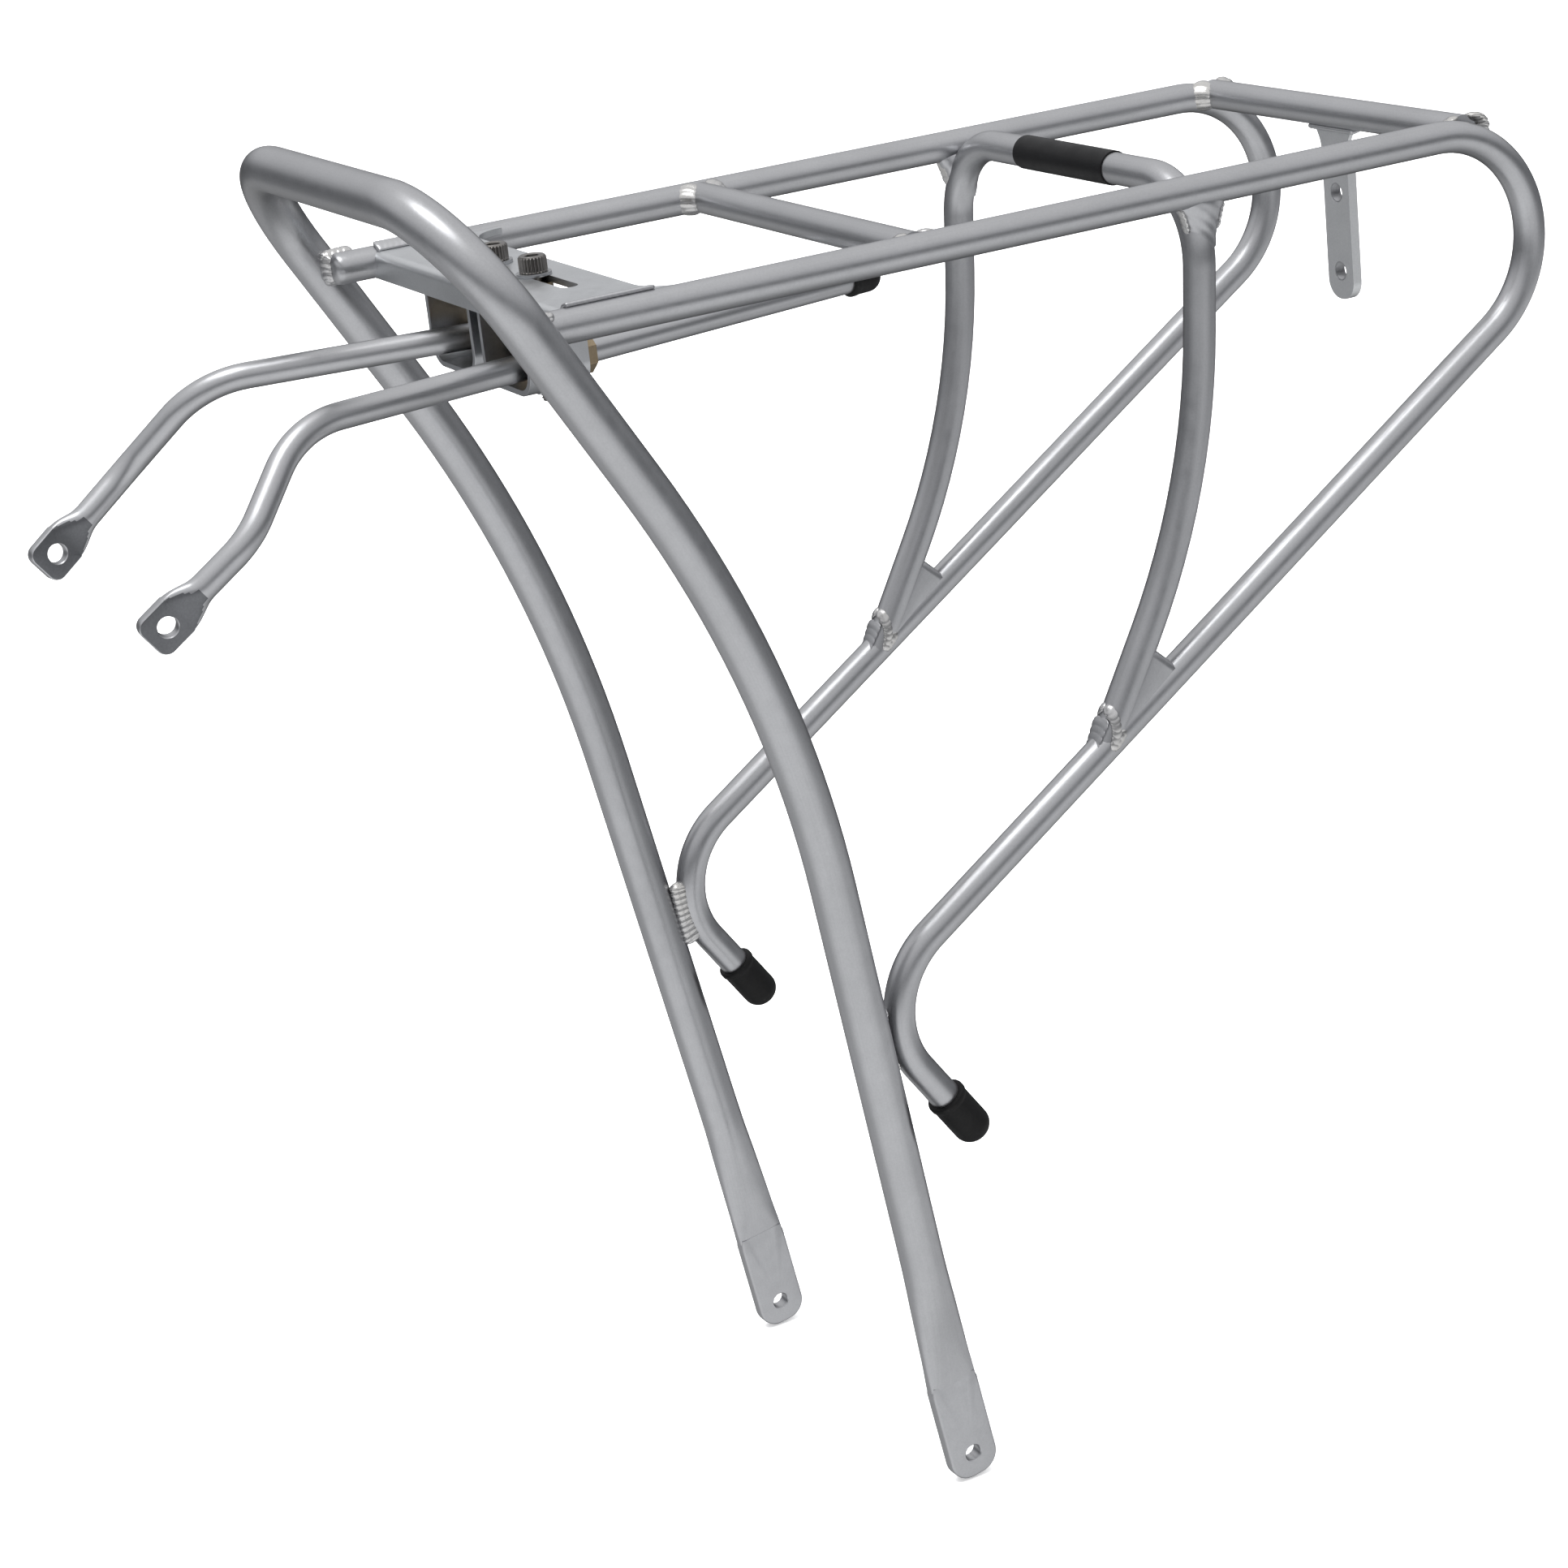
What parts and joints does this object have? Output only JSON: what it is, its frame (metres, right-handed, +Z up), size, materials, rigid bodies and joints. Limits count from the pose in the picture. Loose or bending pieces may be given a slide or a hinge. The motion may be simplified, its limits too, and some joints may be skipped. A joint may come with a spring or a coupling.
{
  "type": "bicycle rear rack",
  "caption": "Welded tube rear carrier with a leaning front hoop, drop struts, a slotted front plate and two sliding front stays held by pinch clamps.",
  "frame": {"origin": "midway between the two lower mounting holes, where their common axis crosses the bike's centre plane", "axes": "+X to the bike's left along the mounting-hole axis, +Y towards the rear of the bike, +Z up"},
  "size_m": [0.1804, 0.469, 0.4456],
  "materials": {
    "frame_metal": "satin silver, anodised look",
    "weld": "rippled weld bead, slightly shinier than the tube",
    "stay_metal": "bright satin",
    "bright_steel": "zinc plated, semi-gloss",
    "gold_zinc": "dull yellow-passivated",
    "bolt_steel": "knurled, dark nickel",
    "cap_rubber": "matt black",
    "band": "satin black film, lettering left out"
  },
  "bodies": {
    "rack": {"main_hoop": "frame_metal", "left_side_rail": "frame_metal", "right_side_rail": "frame_metal", "mid_cross_tube": "frame_metal", "rear_cross_tube": "frame_metal", "inner_hoop": "frame_metal", "hoop_band": "band", "front_plate": "frame_metal", "reflector_bracket": "frame_metal", "weld_seams": "weld", "left_foot_cap": "cap_rubber", "right_foot_cap": "cap_rubber"},
    "left_carrier": {"left_clamp_washer": "bright_steel", "left_clamp_stirrup": "bright_steel", "left_clamp_nut": "bright_steel"},
    "left_screw": {"left_clamp_bolt": "bolt_steel"},
    "left_clamp": {"left_clamp_block": "gold_zinc"},
    "left_stay_arm": {"left_stay": "stay_metal", "left_stay_cap": "cap_rubber"},
    "right_carrier": {"right_clamp_washer": "bright_steel", "right_clamp_stirrup": "bright_steel", "right_clamp_nut": "bright_steel"},
    "right_screw": {"right_clamp_bolt": "bolt_steel"},
    "right_clamp": {"right_clamp_block": "gold_zinc"},
    "right_stay_arm": {"right_stay": "stay_metal", "right_stay_cap": "cap_rubber"}
  },
  "joints": [
    {"name": "left_slot_slide", "type": "slide", "parent": "rack", "child": "left_carrier", "axis": [1, 0, 0], "range_m": [0, 0.0235]},
    {"name": "left_screw_turn", "type": "hinge", "parent": "left_carrier", "child": "left_screw", "pos_m": [0.014, -0.0757, 0.38], "axis": [0, 0, 1], "continuous": true},
    {"name": "left_clamp_swivel", "type": "hinge", "parent": "left_carrier", "child": "left_clamp", "pos_m": [0.014, -0.0757, 0.38], "axis": [0, 0, 1], "range_deg": [-9, 0.5]},
    {"name": "left_stay_slide", "type": "slide", "parent": "left_clamp", "child": "left_stay_arm", "axis": [0.1625, -0.9867, 0], "range_m": [-0.01, 0.085]},
    {"name": "right_slot_slide", "type": "slide", "parent": "rack", "child": "right_carrier", "axis": [-1, 0, 0], "range_m": [0, 0.0235]},
    {"name": "right_screw_turn", "type": "hinge", "parent": "right_carrier", "child": "right_screw", "pos_m": [-0.014, -0.0757, 0.38], "axis": [0, 0, 1], "continuous": true},
    {"name": "right_clamp_swivel", "type": "hinge", "parent": "right_carrier", "child": "right_clamp", "pos_m": [-0.014, -0.0757, 0.38], "axis": [0, 0, -1], "range_deg": [-9, 0.5]},
    {"name": "right_stay_slide", "type": "slide", "parent": "right_clamp", "child": "right_stay_arm", "axis": [-0.1625, -0.9867, 0], "range_m": [-0.01, 0.085]}
  ]
}
